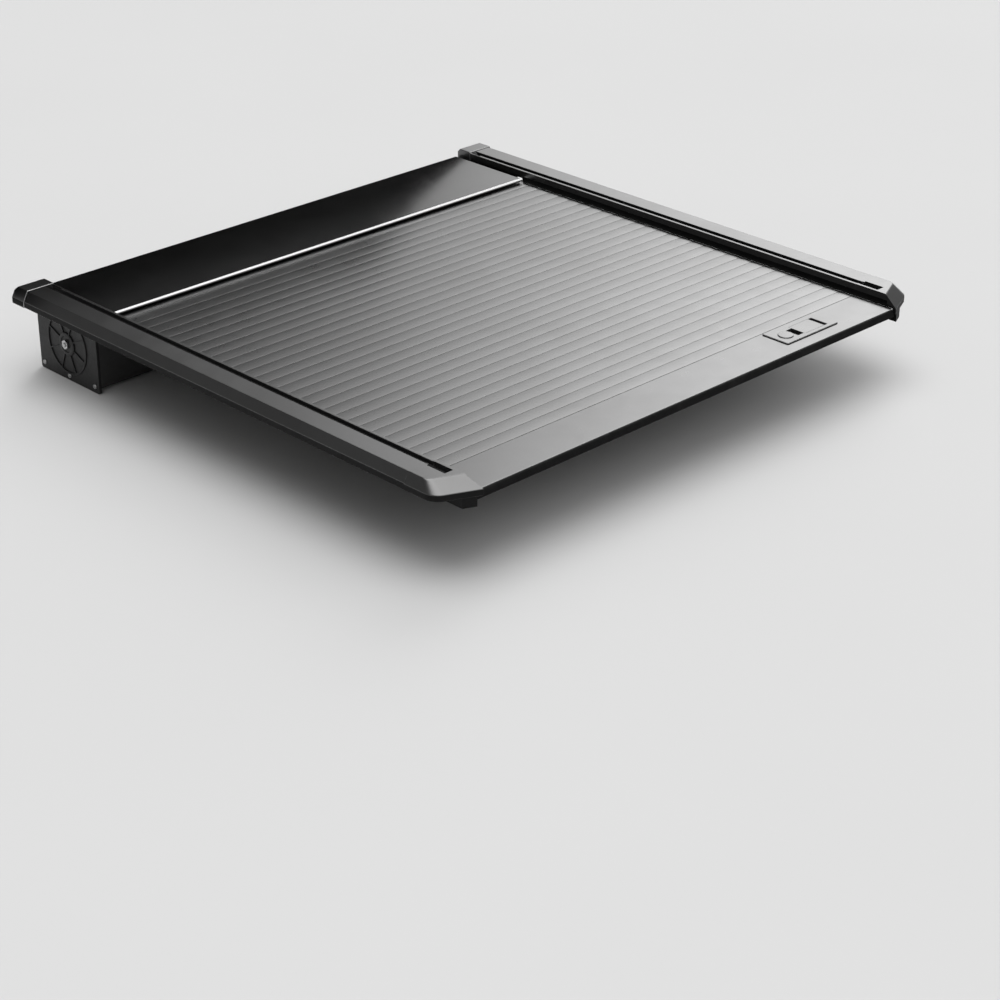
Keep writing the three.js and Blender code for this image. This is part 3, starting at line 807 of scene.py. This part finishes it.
def add_seals():
    """The guide seal's lip and band, the black liner of the slats' channel and the foam on the bed rail."""
    lip = rounded([
        (700.9, 6.7, 0.3), (703, 6.7, 0.5), (705.6, 8.9, 0.5), (705.6, 12.4, 0.1), (702.1, 12.4, 0.1),
        (702.1, 12, 0.3), (700.9, 9, 0.6),
    ], 0.4, 4)
    band = rounded([(702.1, 12.4, 0.1), (705.6, 12.4, 0.1), (705.6, 22.4, 0.3), (702.1, 22.4, 0.5)], 0.3, 4)
    liner = rounded([
        (706.3, 7.5), (716.0, 7.5), (716.9, 6.8), (716.9, 4.3), (717.7, 4.3), (717.7, 8.3), (706.3, 8.3),
    ], 0.2, 2)
    pad = rounded([(735.2, -3.2, 1), (784.8, -3.2, 1), (784.8, -0.35, 0.5), (735.2, -0.35, 0.5)], 0.8, 3)
    seal_run = (SEAL_REAR_Y, 600, SEAL_FRONT_Y)
    for side, sign in SIDES:
        lip_bm = mirrored(swept(lip, "Y", seal_run), sign)
        piece(f"guide_seal_{side}_lip", lip_bm, RUBBER, "root", f"guide_seal_{side}")
        band_bm = mirrored(swept(band, "Y", seal_run), sign)
        unmirrored(piece(f"guide_seal_{side}_band", band_bm, RUBBER, "root"))
        liner_bm = mirrored(swept(liner, "Y", (SEAL_REAR_Y, 600, 1283)), sign)
        piece(f"channel_{side}_liner", liner_bm, PLASTIC, "root")
        pad_bm = mirrored(swept(pad, "Y", (58.2, 700, 1475.8)), sign)
        piece(f"bed_seal_{side}_foam", pad_bm, FOAM, "root", f"bed_seal_{side}")


# ---------------------------------------------------------------- canister


def screw_head(radius, height):
    """A dished hexagon-socket screw head that stands up along Z."""
    profile = [(0, 0), (radius, 0), (radius, height * 0.6), (radius * 0.82, height), (0, height)]
    head = as_object("screw", turned(profile, 32))
    cut(head, swept(circle(radius * 0.5, 6), "Z", (height * 0.35, height + 1)))
    return mesh_of(head)


def lay_along_x(bm, sign):
    """Turns a mesh that stands along Z so that it points along X, outwards on the given side."""
    for vert in bm.verts:
        x, y, z = vert.co
        vert.co = (z * sign, y, x)
    if sign > 0:
        bmesh.ops.reverse_faces(bm, faces=bm.faces)
    return bm


def add_end_screws(side, sign):
    places = ((1304, -172), (1514, -172), (1304, -14), (1514, -14), (SPOOL_Y, -176))
    heads = [moved(lay_along_x(screw_head(6, 3.4), sign), sign * END_FACE_X, y, z) for y, z in places]
    piece(f"canister_{side}_screws", joined(*heads), STEEL, "root", edge=0.25)


def add_end_hub(side, sign):
    """The collar round the spool's shaft, and the nut that holds the shaft."""
    collar = turned([(0, 0), (30, 0), (30, 3), (27, 4.4), (21, 4.4), (20, 2.4), (0, 2.4)], 64)
    collar = moved(lay_along_x(collar, sign), sign * END_FACE_X, SPOOL_Y, SPOOL_Z)
    piece(f"canister_{side}_hub", collar, PLASTIC, "root", edge=0.4)
    nut = swept(circle(12.5, 6), "Z", (2, 9))
    stud = turned([(0, 2), (5.6, 2), (5.6, 11), (4.8, 12), (0, 12)], 32)
    fastener = moved(lay_along_x(joined(nut, stud), sign), sign * END_FACE_X, SPOOL_Y, SPOOL_Z)
    piece(f"canister_{side}_nut", fastener, STEEL, "root", edge=0.4)


def add_end_ribs(side, sign):
    """A rim and eight ribs round the collar."""
    height = 3.2
    rib_count = 8
    rim = as_object("rim", turned([(0, 0), (80, 0), (80, 2.6), (79, height), (0, height)], 96))
    cut(rim, swept(circle(74.5, 96), "Z", (-1, 5)))
    parts = [lay_along_x(mesh_of(rim), sign)]
    for i in range(rib_count):
        rib = box(0, height, -1.6, 1.6, 29, 75)
        turn = Matrix.Rotation(math.radians((i + 0.5) * 360 / rib_count), 3, "X")
        bmesh.ops.rotate(rib, verts=rib.verts, cent=(0, 0, 0), matrix=turn)
        parts.append(mirrored(rib, sign))
    bm = moved(joined(*parts), sign * (END_FACE_X - 0.2), SPOOL_Y, SPOOL_Z)
    piece(f"canister_{side}_ribs", bm, PLASTIC, "root", edge=0.5)


def add_canister():
    node = "canister_housing"
    piece("canister_housing_shell", cad_copy(node), SHEET, "root", node, edge=0.35)
    for side, sign in SIDES:
        node = f"canister_end_{side}"
        piece(f"{node}_plate", cad_copy(node), PLASTIC, "root", node, edge=0.9, segments=3)
        add_end_screws(side, sign)
        add_end_hub(side, sign)
        add_end_ribs(side, sign)


def add_lid():
    """The lid, the bright bead along its rear edge with a return at each end, and the wiper under it."""
    node = "canister_lid"
    piece("canister_lid_panel", cad_copy(node), LID_COAT, "root", node, edge=0.6, segments=3)
    bead = rounded([
        (1267.7, 12.4, 0.3), (1271.7, 12.4, 0.2), (1271.7, 18.9, 0.2), (1270.9, 18.9, 0.4),
        (1267.7, 15.2, 0.5),
    ], 0.3, 4)
    trim = [swept(bead, "X", (-TRIM_HALF_LENGTH, 0, TRIM_HALF_LENGTH))]
    for _, sign in SIDES:
        low_x, high_x = sorted((sign * 695.0, sign * TRIM_HALF_LENGTH))
        trim.append(box(low_x, high_x, 1271.2, 1285.4, 12.9, 18.3))
    piece("lid_trim_bead", joined(*trim), TRIM, "root", "lid_trim", edge=0.25)
    wiper = rounded([
        (1272.4, 8.6, 0.6), (1274.5, 7.0, 0.6), (1278, 7.6, 0.5), (1281.8, 10.2, 0.5), (1281.8, 11.9, 0.3),
        (1272.4, 11.9, 0.3),
    ], 0.4, 4)
    bm = swept(wiper, "X", (-693.4, 0, 693.4))
    piece("lid_wiper", bm, RUBBER, "root", "lid_seal", edge=0.3, angle=60)


def add_spool():
    piece("spool_tube_body", cad_copy("spool_tube"), ALUMINIUM, "spool", "spool_tube", edge=0.5, angle=50)
    piece("spool_shaft_body", cad_copy("spool_shaft"), STEEL, "root", "spool_shaft", edge=0.8, angle=50)
    piece("spool_spring_coil", cad_copy("spool_spring"), SPRING_STEEL, "spool", "spool_spring")


def add_leader():
    node = "curtain_leader"
    obj = piece("leader_webbing", cad_copy(node), WEBBING, node, node)
    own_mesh(obj)


# ---------------------------------------------------------------- latch


def in_well(centre, normal):
    """The finger well and the hollow under the paddle."""
    return 402 < centre.x < 507.5 and 44 < centre.y < 96 and centre.z < 9.9


def at_hinge(centre, normal):
    """The paddle's knuckles, beyond its flat part."""
    return centre.x > 494.8


def add_latch():
    """The housing with its plate, and the paddle on its pin."""
    node = "latch_base"
    housing = piece("latch_housing", cad_copy(node), PLASTIC, "pull_bar", node, edge=0.3)
    node = "latch_plate"
    plate = piece("latch_cover_plate", cad_copy(node), SLAT_COAT, "pull_bar", node, edge=0.3)
    # Painted shade: the finger well and the hollow under the paddle are painted deep black.
    paint_faces(housing, SLOT_PAINTED_SHADE, in_well)
    unmirrored(housing, plate)
    piece("handle_pin_rod", cad_copy("handle_pin"), STEEL, "pull_bar", "handle_pin", edge=0.3, angle=50)
    node = "latch_handle"
    paddle = piece("latch_paddle", cad_copy(node), SLAT_COAT, node, node, edge=0.3)
    # Painted shade: the knuckles inside the slot are painted deep black.
    paint_faces(paddle, SLOT_PAINTED_SHADE, at_hinge)


def add_lock():
    """The round weather cover with its pivot, over the key cylinder."""
    rim = [(18.4, 11.7), (18.9, 12.0), (18.9, 12.6), (18.4, 13.0), (17.6, 13.15)]
    disc = turned([(0, 11.7), *rim, (0, 13.18)], 96)
    pivot = moved(turned([(0, 4.5), (2.1, 4.5), (2.1, 12.3), (0, 12.3)], 24), 0, 16.5, 0)
    cover = moved(joined(disc, pivot), LOCK_X, LOCK_Y, 0)
    piece("lock_cover_disc", cover, SLAT_COAT, "lock_cover", "lock_cover")
    node = "lock_barrel"
    piece("lock_cylinder", cad_copy(node), STEEL, node, node, edge=0.25, angle=50)


def add_bolts():
    """The cam under the latch and the two bolts that it draws."""
    node = "latch_cam"
    piece("latch_cam_plate", cad_copy(node), STEEL, node, node, edge=0.3)
    for side, _ in SIDES:
        node = f"latch_bolt_{side}"
        piece(f"{node}_rod", cad_copy(node), STEEL, node, node, edge=0.8, segments=3, angle=50)


# ---------------------------------------------------------------- studio


def add_floor():
    bm = bmesh.new()
    bmesh.ops.create_grid(bm, x_segments=1, y_segments=1, size=40)
    obj = as_object("floor", moved(bm, 0, 0, FLOOR_Z))
    obj.data.materials.append(floor_paint())


def add_world():
    """Soft light all round: bright overhead and to the front right, dim to the front and left."""
    world = bpy.data.worlds.new("studio")
    bpy.context.scene.world = world
    tree = NodeTree(world)
    direction = tree.split(tree.nodes.new("ShaderNodeTexCoord").outputs["Generated"])
    degrees = 180 / math.pi
    azimuth = tree.product(tree.maths("ARCTAN2", direction["X"], direction["Y"]), degrees)
    elevation = tree.product(tree.maths("ARCSINE", direction["Z"]), degrees)
    start = tree.eased(azimuth, KEY_START, 0.0, 1.0)
    end = tree.eased(azimuth, KEY_END, 1.0, KEY_BEYOND)
    fade = tree.eased(elevation, KEY_FADE, 1.0, 0.0)
    rise = tree.eased(elevation, KEY_RISE, KEY_AT_HORIZON, 1.0)
    key = tree.product(tree.product(start, end), tree.product(tree.product(fade, rise), KEY_LIGHT))
    overhead = tree.eased(elevation, OVERHEAD_FROM, 0.0, OVERHEAD_LIGHT)
    behind = tree.eased(tree.maths("ABSOLUTE", azimuth), REAR_FROM, 0.0, 1.0)
    rear = tree.product(behind, tree.eased(elevation, REAR_RISE, 0.0, REAR_LIGHT))
    ambient = tree.eased(direction["X"], LEFT_FADE, LEFT_LIGHT, AMBIENT_LIGHT)
    lights = tree.maths("ADD", key, tree.maths("MAXIMUM", overhead, rear))
    background = tree.nodes["Background"]
    tree.links.new(tree.maths("ADD", lights, ambient), background.inputs["Strength"])
    background.inputs["Color"].default_value = (1, 1, 1, 1)


def add_flag():
    """A black card over the front edge that only reflections see, as the cab stands there on the truck."""
    outline = [(-900, 24), (900, 24), (763, 68), (690, 102), (600, 146), (430, 290), (-900, 305)]
    obj = as_object("flag", swept(outline, "Y", (1585, 1590)))
    s = Surface("flag_black", grey(0.0), 0.0, 1.0, Specular_IOR_Level=0.0)
    low, high = (z * MM for z in FLAG_GLOW_Z)
    glow = s.ranged(s.split(s.place)["Z"], low, high, 0.0, FLAG_LIGHT)
    s.shader.inputs["Emission Color"].default_value = (1, 1, 1, 1)
    s.links.new(glow, s.shader.inputs["Emission Strength"])
    obj.data.materials.append(s.done())
    obj.visible_camera = False
    obj.visible_diffuse = False
    obj.visible_shadow = False


def add_camera():
    data = bpy.data.cameras.new("camera")
    data.sensor_width = 36
    data.lens = CAMERA_LENS
    data.clip_end = 200
    obj = bpy.data.objects.new("camera", data)
    obj.location = Vector(CAMERA_PLACE) * MM
    obj.rotation_euler = [math.radians(angle) for angle in CAMERA_TURN]
    bpy.context.scene.collection.objects.link(obj)
    bpy.context.scene.camera = obj


add_slats()
add_pull_bar()
add_tailgate_seal()
add_rails()
add_rear_caps()
add_front_caps()
add_seals()
add_canister()
add_lid()
add_spool()
add_leader()
add_latch()
add_lock()
add_bolts()
add_floor()
add_world()
add_flag()
add_camera()
bpy.context.scene.view_settings.view_transform = "Standard"
